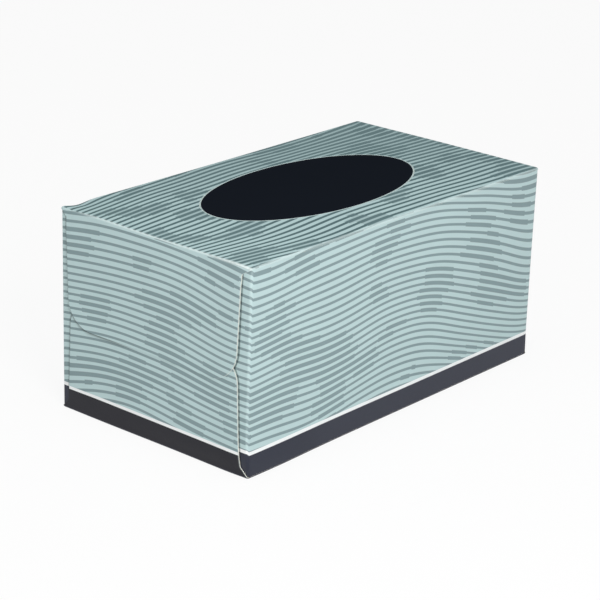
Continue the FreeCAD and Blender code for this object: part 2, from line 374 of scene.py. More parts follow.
def buildSleeve(materials):
    # materials are keyed by the kind of surface that they cover
    rings = sleeveRings()
    points, wearAndHighlight, faces, faceMaterials, uvs = [], [], [], [], []
    for ring, heights, zone in rings:
        for point, z in zip(ring, heights):
            points.append((point.x, point.y - lapInset(point.x, point.y, z), z))
            wearAndHighlight.append(edgeWearAndHighlight(point.x, point.y, z))
    kinds = list(materials)
    zoneKinds = {"slit": "top", "slitFloor": "raw", "lapEdge": "wall"}
    for level in range(len(rings) - 1):
        zone = rings[level][2]
        for index in range(ringCount):
            following = (index + 1) % ringCount
            face = (level * ringCount + index, level * ringCount + following,
                    (level + 1) * ringCount + following, (level + 1) * ringCount + index)
            faces.append(face)
            kind = zoneKinds.get(zone, zone)
            if zone == "slitFloor" and index % 4 == 3:
                kind = "top"  # a tie between two slits keeps its print
            if zone == "lapEdge" and points[face[0]][1] > carton["halfWidth"] - glueLap["backBand"]:
                kind = "raw"
            faceMaterials.append(kinds.index(kind))
            if kind == "top":
                uvs.append([points[corner][:2] for corner in face])
            else:
                runs = [wrapRun[index + side] for side in (0, 1, 1, 0)]
                uvs.append([(run, printHeight(*points[corner])) for run, corner in zip(runs, face)])
    for level, kind in ((0, "base"), (len(rings) - 1, "top")):
        centre = len(points)
        points.append((0, 0, rings[level][1][0]))
        wearAndHighlight.append(0.0)
        for index in range(ringCount):
            pair = (level * ringCount + index, level * ringCount + (index + 1) % ringCount)
            face = (centre, *pair) if level else (centre, *reversed(pair))
            faces.append(face)
            faceMaterials.append(kinds.index(kind))
            uvs.append([points[corner][:2] for corner in face])
    makeMesh("cartonSleeve", points, faces, materials.values(), faceMaterials, uvs, wearAndHighlight)


# Wide end flaps: sheets with rounded free corners, as seen from outside
upperFlap = {
    "fold": carton["topFold"],
    "free": 46.0,
    "hingeHalf": 61.6,
    "foldHalf": 57.2,
    "freeHalf": 55.25,
    "foldShift": 0.7,  # towards the back
    "freeShift": 0.35,
    "shoulder": 3.6,
    "backCorner": 15.0,
    "frontCorner": 17.0,
    "slopeEnd": 59.0,  # down to here the flap runs out over the lower one
    "slope": carton["board"],
    "lift": 0.5,  # the seam stands open at its back part
}
lowerFlap = {
    "fold": carton["foldRadius"],
    "free": 59.0,
    "hingeHalf": 61.4,
    "foldHalf": 57.55,
    "freeHalf": 55.05,
    "foldShift": -0.45,
    "freeShift": -0.25,
    "shoulder": 4.5,
    "backCorner": 12.0,
    "frontCorner": 12.0,
    "slope": 0.0,
}
flapGrid = {
    "columns": 130,
    "edgeSteps": (0.0, 0.15, 0.4, 0.9),  # closer columns beside a cut edge
    "rowStep": 0.9,
    "shoulderRows": 8,
    "cornerRows": 16,
    "shoulderCurve": 1.15,  # 1 is a straight shoulder
}
flapSpring = {
    "standOff": 0.45,  # the cut sides spring off the dust flaps
    "standAcross": (35, 58),  # from the flap's middle
    "standDown": 12,  # from its fold
    "liftAcross": (5, 52),  # towards the back
    "liftHeight": 16,  # above the upper flap's free edge
}
crease = {
    "start": (-60.0, 98.8),
    "end": (-43.0, 100.7),
    "depth": 0.22,
    "width": 0.9,
    "fadeIn": (-1, 3),
    "fadeOut": 6,
}


def flapRows(flap):
    reach = abs(flap["free"] - flap["fold"])
    rows = [flap["shoulder"] * step / flapGrid["shoulderRows"] for step in range(flapGrid["shoulderRows"])]
    corner = max(flap["backCorner"], flap["frontCorner"])
    straight = reach - corner - flap["shoulder"]
    count = round(straight / flapGrid["rowStep"])
    rows += [flap["shoulder"] + straight * step / count for step in range(count)]
    for step in range(flapGrid["cornerRows"] + 1):
        angle = math.pi / 2 * step / flapGrid["cornerRows"]
        rows.append(reach - corner * (1 - math.sin(angle)))
    return rows


def flapEdges(flap, run):
    # back and front edge at a distance from the fold
    reach = abs(flap["free"] - flap["fold"])
    share = run / reach
    half = mix(flap["foldHalf"], flap["freeHalf"], share)
    shift = mix(flap["foldShift"], flap["freeShift"], share)
    flare = max(0.0, 1 - run / flap["shoulder"]) ** flapGrid["shoulderCurve"]

    def rounding(corner):
        intoCorner = max(0.0, run - reach + corner)
        return corner - math.sqrt(max(0.0, corner ** 2 - intoCorner ** 2))

    back = mix(shift + half, flap["hingeHalf"], flare) - rounding(flap["backCorner"])
    front = mix(shift - half, -flap["hingeHalf"], flare) + rounding(flap["frontCorner"])
    return back, front


def creaseDepth(y, z):
    (ay, az), (by, bz) = crease["start"], crease["end"]
    length = math.dist((ay, az), (by, bz))
    along = ((y - ay) * (by - ay) + (z - az) * (bz - az)) / length
    away = abs((y - ay) * (bz - az) - (z - az) * (by - ay)) / length
    fade = smooth(*crease["fadeIn"], along) * (1 - smooth(length - crease["fadeOut"], length, along))
    return crease["depth"] * fade * falloff(away, crease["width"])


def flapFace(flap, y, z, near):
    # distance of the flap's outer face from the middle of the carton
    out = carton["foldEnd"]
    if flap["slope"]:
        out += flap["slope"] * min(1.0, (flap["fold"] - z) / (flap["fold"] - flap["slopeEnd"]))
        rise = smooth(flap["free"] + flapSpring["liftHeight"], flap["free"], z)
        out += flap["lift"] * smooth(*flapSpring["liftAcross"], y) * rise
        if near:
            out -= creaseDepth(y, z)
    stand = smooth(*flapSpring["standAcross"], abs(y - flap["foldShift"]))
    out += flapSpring["standOff"] * stand * smooth(0, flapSpring["standDown"], abs(z - flap["fold"]))
    return out


def buildFlap(name, flap, side, materials):
    # side is -1 for the near end and 1 for the far one
    towardsFree = math.copysign(1, flap["free"] - flap["fold"])
    rows = flapRows(flap)
    points, wearAndHighlight, wrap = [], [], []
    columns = flapGrid["columns"]
    span = carton["halfWidth"] - carton["cornerRadius"]
    nearStart = -carton["cornerRadius"] * math.pi / 4
    farStart = 2 * (carton["dustEnd"] - carton["cornerRadius"]) - 3 * nearStart
    for run in rows:
        back, front = flapEdges(flap, run)
        steps = list(flapGrid["edgeSteps"])
        inner = columns - 2 * len(steps)
        places = [back - step for step in steps]
        low, high = back - steps[-1], front + steps[-1]
        places += [mix(low, high, (step + 1) / (inner + 1)) for step in range(inner)]
        places += [front + step for step in reversed(steps)]
        z = flap["fold"] + towardsFree * run
        for y in places:
            points.append((side * flapFace(flap, y, z, side < 0), y, z))
            cutRub = wearAndHighlightMarks["cutEdge"] * falloff(y - front, wearAndHighlightMarks["cutReach"])
            wearAndHighlight.append(max(edgeWearAndHighlight(side * carton["halfLength"], y, z), cutRub))
            if side < 0:
                wrap.append((nearStart - (y + span), z))
            else:
                wrap.append((farStart + (y + span), z))
    outerCount = len(points)
    points += [(x - side * carton["board"], y, z) for x, y, z in points]
    wearAndHighlight += wearAndHighlight[:columns] + [0.0] * (outerCount - columns)
    wrap += wrap[:outerCount]
    faces, faceMaterials = [], []
    turned = (side < 0) == (towardsFree < 0)
    printed, raw = 0, 1  # order of the flap's materials

    def addFace(face, material):
        faces.append(tuple(face if turned else reversed(face)))
        faceMaterials.append(material)

    for row in range(len(rows) - 1):
        for column in range(columns - 1):
            a = row * columns + column
            addFace((a, a + columns, a + columns + 1, a + 1), printed)
            b = a + outerCount
            addFace((b, b + 1, b + columns + 1, b + columns), raw)
    loop = list(range(columns))
    loop += [row * columns + columns - 1 for row in range(1, len(rows))]
    loop += [(len(rows) - 1) * columns + column for column in range(columns - 2, -1, -1)]
    loop += [row * columns for row in range(len(rows) - 2, 0, -1)]
    for a, b in zip(loop, loop[1:] + loop[:1]):
        addFace((a, b, b + outerCount, a + outerCount), printed if max(a, b) < columns else raw)
    uvs = [[wrap[corner] for corner in face] for face in faces]
    makeMesh(name, points, faces, materials, faceMaterials, uvs, wearAndHighlight)


# Node helpers
def setSocket(tree, socket, value):
    if isinstance(value, bpy.types.NodeSocket):
        tree.links.new(value, socket)
    else:
        socket.default_value = value


def addMath(tree, operation, *values, clamp=False):
    node = tree.nodes.new("ShaderNodeMath")
    node.operation = operation
    node.use_clamp = clamp
    for socket, value in zip(node.inputs, values):
        setSocket(tree, socket, value)
    return node.outputs[0]


def addMix(tree, share, a, b, blend="MIX"):
    node = tree.nodes.new("ShaderNodeMix")
    node.data_type = "RGBA"
    node.blend_type = blend
    for name, value in (("Factor_Float", share), ("A_Color", a), ("B_Color", b)):
        socket = next(s for s in node.inputs if s.identifier == name)
        setSocket(tree, socket, value)
    return next(s for s in node.outputs if s.identifier == "Result_Color")


def addNoise(tree, coordinates, scale, detail=2.0, roughness=0.5):
    node = tree.nodes.new("ShaderNodeTexNoise")
    node.inputs["Scale"].default_value = scale
    node.inputs["Detail"].default_value = detail
    node.inputs["Roughness"].default_value = roughness
    tree.links.new(coordinates, node.inputs["Vector"])
    return node.outputs[0]


def softStep(tree, value, edge, softness):
    # 0 below the edge and 1 above it
    node = tree.nodes.new("ShaderNodeMapRange")
    node.interpolation_type = "SMOOTHSTEP"
    setSocket(tree, node.inputs["Value"], value)
    node.inputs["From Min"].default_value = edge - softness
    node.inputs["From Max"].default_value = edge + softness
    return node.outputs["Result"]


def newGroup(name, inputs, outputs):
    # inputs give each socket's default, outputs its kind
    tree = bpy.data.node_groups.new(name, "ShaderNodeTree")
    for socketName, default in inputs.items():
        kind = {3: "Vector", 4: "Color"}[len(default)] if isinstance(default, tuple) else "Float"
        socket = tree.interface.new_socket(socketName, in_out="INPUT", socket_type="NodeSocket" + kind)
        socket.default_value = default
    for socketName, kind in outputs.items():
        tree.interface.new_socket(socketName, in_out="OUTPUT", socket_type="NodeSocket" + kind)
    return tree, tree.nodes.new("NodeGroupInput").outputs, tree.nodes.new("NodeGroupOutput").inputs


def addGroup(tree, group, values):
    node = tree.nodes.new("ShaderNodeGroup")
    node.node_tree = group
    for name, value in values.items():
        setSocket(tree, node.inputs[name], value)
    return node.outputs


def srgb(red, green, blue):
    def linear(value):
        value /= 255
        return value / 12.92 if value <= 0.04045 else ((value + 0.055) / 1.055) ** 2.4
    return (linear(red), linear(green), linear(blue), 1.0)


def addGirthNoise(tree, u, v, given, size, stretch=1.0):
    # noise on a cylinder as wide as the walls' girth, so that it closes on itself where the print ends meet
    radius = given["Girth Radius"]
    angle = addMath(tree, "DIVIDE", u, radius)
    spot = tree.nodes.new("ShaderNodeCombineXYZ")
    parts = (addMath(tree, "MULTIPLY", addMath(tree, "COSINE", angle), radius),
             addMath(tree, "MULTIPLY", addMath(tree, "SINE", angle), radius),
             addMath(tree, "MULTIPLY_ADD", v, stretch, given["Seed"]))
    for socket, value in zip(spot.inputs, parts):
        tree.links.new(value, socket)
    shrunk = tree.nodes.new("ShaderNodeVectorMath")
    shrunk.operation = "SCALE"
    tree.links.new(spot.outputs[0], shrunk.inputs[0])
    tree.links.new(addMath(tree, "DIVIDE", 1.0, size), shrunk.inputs["Scale"])
    return addNoise(tree, shrunk.outputs[0], 1.0, 0.0)


def makeWaveGroup():
    # stripes like contour lines: two long waves, a hollow and a slow drift bend them and vary their spacing
    tree, given, result = newGroup("wavyStripes", {
        "U": 0.0, "V": 0.0, "Middle": 50.0, "Pitch": 4.4, "Fan": 0.0,
        "Rise": 6.0, "Run": 234.0, "Crest": 0.0, "Lean": 0.0,
        "Ripple": 2.0, "Ripple Run": 175.0, "Ripple Crest": 0.0, "Ripple Lean": 0.0, "Grow": 0.0,
        "Dip": 0.0, "Dip U": 0.0, "Dip V": 50.0, "Dip Run": 60.0, "Dip Height": 30.0,
        "Drift": 10.0, "Drift Size": 80.0, "Girth Radius": 100.0, "Seed": 0.0,
    }, {"Line": "Float", "Off": "Float"})
    above = addMath(tree, "SUBTRACT", given["V"], given["Middle"])

    def away(place, middle, reach):
        return addMath(tree, "DIVIDE", addMath(tree, "SUBTRACT", place, middle), reach)

    def wave(height, run, crest, lean):
        slant = addMath(tree, "MULTIPLY", above, lean)
        angle = addMath(tree, "MULTIPLY_ADD", away(given["U"], crest, run), 2 * math.pi, slant)
        return addMath(tree, "MULTIPLY", addMath(tree, "COSINE", angle), height)

    bend = addMath(tree, "ADD", wave(given["Rise"], given["Run"], given["Crest"], given["Lean"]),
                   wave(given["Ripple"], given["Ripple Run"], given["Ripple Crest"], given["Ripple Lean"]))
    deeper = addMath(tree, "SUBTRACT", 1.0, addMath(tree, "MULTIPLY", above, given["Grow"]))
    bend = addMath(tree, "MULTIPLY", bend, deeper)
    aside = away(given["U"], given["Dip U"], given["Dip Run"])
    apart = away(given["V"], given["Dip V"], given["Dip Height"])
    squares = addMath(tree, "MULTIPLY_ADD", aside, aside, addMath(tree, "MULTIPLY", apart, apart))
    hollow = addMath(tree, "EXPONENT", addMath(tree, "MULTIPLY", squares, -1.0))
    bend = addMath(tree, "SUBTRACT", bend, addMath(tree, "MULTIPLY", given["Dip"], hollow))
    slow = addGirthNoise(tree, given["U"], given["V"], given, given["Drift Size"])
    bend = addMath(tree, "MULTIPLY_ADD", addMath(tree, "SUBTRACT", slow, 0.5), given["Drift"], bend)
    spread = addMath(tree, "SUBTRACT", 1.0, addMath(tree, "MULTIPLY", given["U"], given["Fan"]))
    course = addMath(tree, "MULTIPLY", addMath(tree, "SUBTRACT", given["V"], bend), spread)
    nearest = addMath(tree, "ROUND", addMath(tree, "DIVIDE", course, given["Pitch"]))
    line = addMath(tree, "MULTIPLY", nearest, given["Pitch"])
    tree.links.new(line, result["Line"])
    tree.links.new(addMath(tree, "ABSOLUTE", addMath(tree, "SUBTRACT", course, line)), result["Off"])
    return tree


def makeRunGroup():
    # 1 where a stripe runs thick, tested on the stripe's own line so that the ends step from stripe to stripe
    tree, given, result = newGroup("thickRuns", {
        "U": 0.0, "Line": 0.0, "Girth Radius": 100.0, "Size": 40.0,
        "Stretch": 2.0, "Stagger": 4.0, "Level": 0.56, "Seed": 0.0,
    }, {"Thick": "Float"})
    chance = tree.nodes.new("ShaderNodeTexWhiteNoise")
    chance.noise_dimensions = "1D"
    tree.links.new(given["Line"], chance.inputs["W"])
    centred = addMath(tree, "SUBTRACT", chance.outputs["Value"], 0.5)
    shift = addMath(tree, "MULTIPLY", centred, given["Stagger"])
    u = addMath(tree, "MULTIPLY_ADD", shift, 2.0, given["U"])
    cloud = addGirthNoise(tree, u, given["Line"], given, given["Size"], given["Stretch"])
    tree.links.new(addMath(tree, "GREATER_THAN", cloud, given["Level"]), result["Thick"])
    return tree


grain = {
    "fine": 2400,  # noise scales, for each metre
    "broad": 60,
    "fibre": 900,
    "fineShare": 0.6,  # of the mottle
    "fibreRoughness": 0.12,
    "rubRoughness": 0.2,
    "bumpDistance": 0.0002,
}


def makeBoardGroup():
    # ink on coated board: mottle, folds paled by wear and by a painted highlight, and a faint fibre
    tree, given, result = newGroup("boardFinish", {
        "Ink": (0.5, 0.5, 0.5, 1.0), "Wear And Highlight": 0.0, "Worn And Highlit Colour": (0.8, 0.8, 0.8, 1.0),
        "Mottle": 0.1, "Position": (0.0, 0.0, 0.0), "Ink Roughness": 0.5,
    }, {"Colour": "Color", "Roughness": "Float", "Height": "Float"})
    fine = addNoise(tree, given["Position"], grain["fine"], 3, 0.6)
    broad = addNoise(tree, given["Position"], grain["broad"], 2)
    fibre = addNoise(tree, given["Position"], grain["fibre"], 4, 0.65)
    shade = addMath(tree, "ADD", addMath(tree, "MULTIPLY", fine, grain["fineShare"]),
                    addMath(tree, "MULTIPLY", broad, 1 - grain["fineShare"]))
    shade = addMath(tree, "MULTIPLY", addMath(tree, "SUBTRACT", shade, 0.5), given["Mottle"])
    dull = addMath(tree, "ADD", 1.0, shade)
    grey = tree.nodes.new("ShaderNodeCombineColor")
    for socket in grey.inputs:
        tree.links.new(dull, socket)
    inked = addMix(tree, 1.0, given["Ink"], grey.outputs[0], "MULTIPLY")
    # mix towards the pale colour: worn print, and the painted highlight on the folds
    wornAndHighlitShare = addMath(tree, "MULTIPLY", given["Wear And Highlight"], addMath(tree, "ADD", fibre, 0.5), clamp=True)
    tree.links.new(addMix(tree, wornAndHighlitShare, inked, given["Worn And Highlit Colour"]), result["Colour"])
    rough = addMath(tree, "MULTIPLY_ADD", fibre, grain["fibreRoughness"], given["Ink Roughness"])
    rough = addMath(tree, "MULTIPLY_ADD", wornAndHighlitShare, grain["rubRoughness"], rough)
    tree.links.new(rough, result["Roughness"])
    tree.links.new(fibre, result["Height"])
    return tree


waveGroup = makeWaveGroup()
runGroup = makeRunGroup()
boardGroup = makeBoardGroup()

# printed inks, and the colours of the painted contact shadow, the painted darker end band and the painted
# fold highlight
inksAndShades = {
    "ground": srgb(184, 207, 208),
    "stripe": srgb(128, 149, 152),
    "topGround": srgb(184, 209, 210),
    "topStripe": srgb(92, 116, 119),
    "tint": srgb(128, 151, 154),
    "band": srgb(38, 42, 56),
    # the end flaps' band is the walls' band ink, painted darker as shade because the ends catch less sheen
    "shadedEndBand": srgb(12, 12, 24),
    # colour of the painted shadow in the gaps beside the flaps and under the seam
    "creviceShadow": srgb(22, 28, 30),
    "oval": srgb(24, 28, 35),
    "white": srgb(240, 242, 242),
    "keyline": srgb(196, 214, 214),
    # pale of the worn folds, which also paints their highlight
    "wornAndHighlit": srgb(222, 234, 233),
    "board": srgb(236, 232, 218),
}
inkEdges = {  # half the width over which one ink gives way to the next
    "stripe": 0.12,
    "band": 0.08,
    "oval": 0.06,
}
finishes = {
    "panels": {"specular": 0.33, "mottle": 0.12, "roughness": 0.42, "relief": 0.15},
    "top": {"specular": 0.0, "mottle": 0.12, "roughness": 0.5, "relief": 0.15},
    "base": {"specular": 0.2, "mottle": 0.1, "roughness": 0.55, "relief": 0.15},
    "raw": {"specular": 0.2, "mottle": 0.2, "roughness": 0.55, "relief": 0.4},
}


def newMaterial(name, specular):
    material = bpy.data.materials.new(name)
    material.use_nodes = True
    tree = material.node_tree
    shader = tree.nodes["Principled BSDF"]
    shader.inputs["Specular IOR Level"].default_value = specular
    return material, tree, shader


def objectPosition(tree):
    return tree.nodes.new("ShaderNodeTexCoord").outputs["Object"]


def splitVector(tree, vector):
    node = tree.nodes.new("ShaderNodeSeparateXYZ")
    tree.links.new(vector, node.inputs[0])
    return node.outputs


def finishBoard(tree, shader, ink, finish):
    # this attribute holds wear and a painted fold highlight
    wearAndHighlight = tree.nodes.new("ShaderNodeAttribute")
    wearAndHighlight.attribute_name = "wearAndHighlight"
    surface = addGroup(tree, boardGroup, {
        "Ink": ink, "Wear And Highlight": wearAndHighlight.outputs["Fac"], "Worn And Highlit Colour": inksAndShades["wornAndHighlit"],
        "Mottle": finish["mottle"], "Position": objectPosition(tree), "Ink Roughness": finish["roughness"],
    })
    tree.links.new(surface["Colour"], shader.inputs["Base Color"])
    tree.links.new(surface["Roughness"], shader.inputs["Roughness"])
    bump = tree.nodes.new("ShaderNodeBump")
    bump.inputs["Strength"].default_value = finish["relief"]
    bump.inputs["Distance"].default_value = grain["bumpDistance"]
    tree.links.new(surface["Height"], bump.inputs["Height"])
    tree.links.new(bump.outputs["Normal"], shader.inputs["Normal"])


def blankCoordinates(tree):
    # millimetres on the flat blank
    node = tree.nodes.new("ShaderNodeUVMap")
    node.uv_map = "blank"
    split = splitVector(tree, node.outputs["UV"])
    return split["X"], split["Y"]


def layStripes(tree, u, v, layout):
    # distance from the nearest stripe's line, where that stripe runs thick, and how thick it is
    wave = addGroup(tree, waveGroup, {"U": u, "V": v, **layout["waves"]})
    thick = addGroup(tree, runGroup, {"U": u, "Line": wave["Line"], **layout["runs"]})["Thick"]
    thickness = addMath(tree, "MULTIPLY_ADD", thick, layout["thick"] - layout["thin"], layout["thin"])
    return wave["Off"], thick, thickness


def stripeMask(tree, off, thickness):
    half = addMath(tree, "MULTIPLY", thickness, 0.5)
    return softStep(tree, addMath(tree, "SUBTRACT", half, off), 0.0, inkEdges["stripe"])


girthRadius = wrapLength / (2 * math.pi)
wallPrint = {
    "thin": 1.4,
    "thick": 2.2,
    "bandTop": 12.1,
    "whiteTop": 13.95,
    "flapBandTop": 11.55,
    "flapWhiteTop": 13.15,
    "waves": {
        "Middle": 50.0,
        "Pitch": 3.85,
        "Rise": 7.5,
        "Run": wrapLength / 2,  # two whole waves round the carton
        "Crest": 21.0,  # along the wrapped panels, from the near upright fold
        "Lean": 0.004,
        "Ripple": 7.6,
        "Ripple Run": wrapLength / 3,
        "Ripple Crest": 132.0,
        "Ripple Lean": 0.004,
        "Grow": 0.003,  # the waves are deeper towards the base
        "Dip": 15.0,  # a hollow in the waves spreads the stripes above it and crowds those below
        "Dip U": 235.0,
        "Dip V": 42.0,
        "Dip Run": 62.0,
        "Dip Height": 42.0,
        "Drift": 8.5,
        "Drift Size": 60.0,
        "Girth Radius": girthRadius,
        "Seed": 7.0,
    },
    "runs": {
        "Girth Radius": girthRadius,
        "Size": 29.0,
        "Stretch": 1.7,
        "Stagger": 3.5,
        "Level": 0.555,
        "Seed": 31.0,
    },
}
# painted contact shadow on the print beside the flaps' cut edges and along the seam
contactShade = {
    "depth": 0.78,  # how dark the painted shadow beside a flap's cut edge is
    "reach": 1.0,
    "backShare": 0.55,  # at the back a distance counts this share less, so that the shade reaches further
    "clear": 0.02,  # no shade on the flap itself
    "endDepth": 0.8,  # how far round the upright folds the ends' shade may reach
    "seamStart": 19.0,  # the seam's own shade begins here, towards the back
    "seamFade": 14.0,
}


def makeBeyondGroup():
    # distance of a place on the carton's end outside a flap's outline, in millimetres
    tree, given, result = newGroup("beyondFlap", {
        "Position": (0.0, 0.0, 0.0), "Fold": 100.0, "Reach": 50.0, "Fold Half": 57.0, "Free Half": 55.0,
        "Fold Shift": 0.0, "Free Shift": 0.0, "Back Corner": 8.0, "Front Corner": 8.0,
        "Hinge Half": 61.0, "Shoulder": 4.0,
    }, {"Distance": "Float"})
    split = splitVector(tree, given["Position"])
    y, z = (addMath(tree, "MULTIPLY", split[axis], 1 / mm) for axis in ("Y", "Z"))
    run = addMath(tree, "ABSOLUTE", addMath(tree, "SUBTRACT", z, given["Fold"]))
    share = addMath(tree, "DIVIDE", run, given["Reach"])

    def between(low, high):
        return addMath(tree, "MULTIPLY_ADD", share, addMath(tree, "SUBTRACT", high, low), low)

    half = between(given["Fold Half"], given["Free Half"])
    flare = addMath(tree, "SUBTRACT", 1.0, addMath(tree, "DIVIDE", run, given["Shoulder"]), clamp=True)
    wider = addMath(tree, "SUBTRACT", given["Hinge Half"], given["Fold Half"])
    half = addMath(tree, "MULTIPLY_ADD", flare, wider, half)
    shift = between(given["Fold Shift"], given["Free Shift"])
    onBack = addMath(tree, "GREATER_THAN", y, 0.0)
    difference = addMath(tree, "SUBTRACT", given["Back Corner"], given["Front Corner"])
    corner = addMath(tree, "MULTIPLY_ADD", onBack, difference, given["Front Corner"])
    aside = addMath(tree, "SUBTRACT", addMath(tree, "ABSOLUTE", addMath(tree, "SUBTRACT", y, shift)), half)
    aside = addMath(tree, "MAXIMUM", addMath(tree, "ADD", aside, corner), 0.0)
    past = addMath(tree, "SUBTRACT", run, given["Reach"])
    past = addMath(tree, "MAXIMUM", addMath(tree, "ADD", past, corner), 0.0)
    squares = addMath(tree, "MULTIPLY_ADD", aside, aside, addMath(tree, "MULTIPLY", past, past))
    gap = addMath(tree, "SUBTRACT", addMath(tree, "SQRT", squares), corner)
    tree.links.new(gap, result["Distance"])
    return tree


beyondGroup = makeBeyondGroup()


def shadeBeside(tree, flap, seamOnly):
    # painted contact shadow: 1 right beside a flap's cut edge, falling to 0 over the shade's reach
    position = objectPosition(tree)
    gap = addGroup(tree, beyondGroup, {
        "Position": position, "Fold": flap["fold"], "Reach": abs(flap["free"] - flap["fold"]),
        "Fold Half": flap["foldHalf"], "Free Half": flap["freeHalf"],
        "Fold Shift": flap["foldShift"], "Free Shift": flap["freeShift"],
        "Back Corner": flap["backCorner"], "Front Corner": flap["frontCorner"],
        "Hinge Half": flap["hingeHalf"], "Shoulder": flap["shoulder"],
    })["Distance"]
    split = splitVector(tree, position)
    onBack = addMath(tree, "GREATER_THAN", split["Y"], 0.0)
    counted = addMath(tree, "MULTIPLY_ADD", onBack, -contactShade["backShare"], 1.0)
    gap = addMath(tree, "MULTIPLY", gap, counted)
    half = contactShade["reach"] / 2
    near = addMath(tree, "SUBTRACT", 1.0, softStep(tree, gap, half, half))
    shade = addMath(tree, "MULTIPLY", near, addMath(tree, "GREATER_THAN", gap, contactShade["clear"]))
    if seamOnly:
        start, fade = contactShade["seamStart"] * mm, contactShade["seamFade"] * mm
        return addMath(tree, "MULTIPLY", shade, softStep(tree, split["Y"], start, fade))
    endFace = (carton["dustEnd"] - contactShade["endDepth"]) * mm
    onEnd = addMath(tree, "GREATER_THAN", addMath(tree, "ABSOLUTE", split["X"]), endFace)
    return addMath(tree, "MULTIPLY", shade, onEnd)


def makeWallPrint(name, band, bandTop, whiteTop, onFlap):
    material, tree, shader = newMaterial(name, finishes["panels"]["specular"])
    u, v = blankCoordinates(tree)
    off, _, thickness = layStripes(tree, u, v, wallPrint)
    ink = addMix(tree, stripeMask(tree, off, thickness), inksAndShades["ground"], inksAndShades["stripe"])
    ink = addMix(tree, softStep(tree, v, whiteTop, inkEdges["band"]), inksAndShades["white"], ink)
    ink = addMix(tree, softStep(tree, v, bandTop, inkEdges["band"]), band, ink)
    shade = shadeBeside(tree, upperFlap, onFlap)
    if not onFlap:
        shade = addMath(tree, "MAXIMUM", shade, shadeBeside(tree, lowerFlap, False))
    shade = addMath(tree, "MULTIPLY", shade, contactShade["depth"])
    # the painted contact shadow darkens the print towards near-black
    ink = addMix(tree, shade, ink, inksAndShades["creviceShadow"])
    finishBoard(tree, shader, ink, finishes["panels"])
    return material


topPrint = {
    "thin": 1.8,
    "thick": 2.5,
    "runTint": 0.34,  # the ground beside a thick run is darker too, and the run itself paler
    "runFade": 0.25,
    "ovalInset": 0.5,  # the dark oval ends this far inside the perforation, the pale ring outside it
    "keyline": 0.3,
    "shadeTurn": 60,  # the rear right is printed more densely: direction, middle and depth of the change
    "shadeMiddle": 25.0,
    "shadeDepth": 55.0,
    "shadeThickness": 0.6,
    "shadeTint": 0.42,
    "waves": {
        "Middle": 0.0,
        "Pitch": 4.24,
        "Fan": 0.00122,  # the stripes lie further apart towards the far end
        "Rise": 3.5,
        "Run": 270.0,
        "Crest": 12.0,
        "Lean": 0.02,
        "Ripple": 0.8,
        "Ripple Run": 120.0,
        "Ripple Crest": -50.0,
        "Ripple Lean": 0.05,
        "Drift": 5.0,
        "Drift Size": 60.0,
        "Girth Radius": girthRadius,
        "Seed": 300.0,
    },
    "runs": {
        "Girth Radius": girthRadius,
        "Size": 26.0,
        "Stretch": 1.5,
        "Stagger": 3.0,
        "Level": 0.565,
        "Seed": 511.0,
    },
}


def ovalDistance(tree, u, v):
    # rough distance outside the oval's edge in millimetres
    a, b = sleeve["ovalHalfLength"], sleeve["ovalHalfWidth"]

    def squaresOf(first, second):
        return addMath(tree, "ADD", addMath(tree, "MULTIPLY", first, first),
                       addMath(tree, "MULTIPLY", second, second))

    level = squaresOf(addMath(tree, "DIVIDE", u, a), addMath(tree, "DIVIDE", v, b))
    slope = squaresOf(addMath(tree, "DIVIDE", u, a * a), addMath(tree, "DIVIDE", v, b * b))
    slope = addMath(tree, "MULTIPLY", addMath(tree, "SQRT", slope), 2.0)
    slope = addMath(tree, "MAXIMUM", slope, 0.001)
    return addMath(tree, "DIVIDE", addMath(tree, "SUBTRACT", level, 1.0), slope)


def makeTopPrint():
    material, tree, shader = newMaterial("printedTop", finishes["top"]["specular"])
    u, v = blankCoordinates(tree)
    off, thick, thickness = layStripes(tree, u, v, topPrint)
    turn = math.radians(topPrint["shadeTurn"])
    towards = addMath(tree, "MULTIPLY_ADD", u, math.cos(turn), addMath(tree, "MULTIPLY", v, math.sin(turn)))
    shade = softStep(tree, towards, topPrint["shadeMiddle"], topPrint["shadeDepth"])
    thickness = addMath(tree, "MULTIPLY_ADD", shade, topPrint["shadeThickness"], thickness)
    denser = addMath(tree, "MULTIPLY", shade, topPrint["shadeTint"])
    groundTint = addMath(tree, "MAXIMUM", denser, addMath(tree, "MULTIPLY", thick, topPrint["runTint"]))
    stripeTint = addMath(tree, "MAXIMUM", denser, addMath(tree, "MULTIPLY", thick, topPrint["runFade"]))
    ground = addMix(tree, groundTint, inksAndShades["topGround"], inksAndShades["tint"])
    stripe = addMix(tree, stripeTint, inksAndShades["topStripe"], inksAndShades["tint"])
    ink = addMix(tree, stripeMask(tree, off, thickness), ground, stripe)
    outside = ovalDistance(tree, u, v)
    ink = addMix(tree, softStep(tree, outside, topPrint["keyline"], inkEdges["oval"]), inksAndShades["keyline"], ink)
    ink = addMix(tree, softStep(tree, outside, -topPrint["ovalInset"], inkEdges["oval"]), inksAndShades["oval"], ink)
    finishBoard(tree, shader, ink, finishes["top"])
    return material


plainBoard = {
    "streakScale": 400,
    "streakShade": 0.86,
}


def makePlainBoard(name, colour, finish):
    # raw board at the cut edges, or the plain printed base
    material, tree, shader = newMaterial(name, finish["specular"])
    streak = addNoise(tree, objectPosition(tree), plainBoard["streakScale"], 3, 0.6)
    darker = tuple(value * plainBoard["streakShade"] for value in colour[:3]) + (1.0,)
    finishBoard(tree, shader, addMix(tree, streak, colour, darker), finish)
    return material


# both print materials carry the painted contact shadow beside the flaps
wallMaterial = makeWallPrint("printedPanels", inksAndShades["band"], wallPrint["bandTop"],
                             wallPrint["whiteTop"], False)
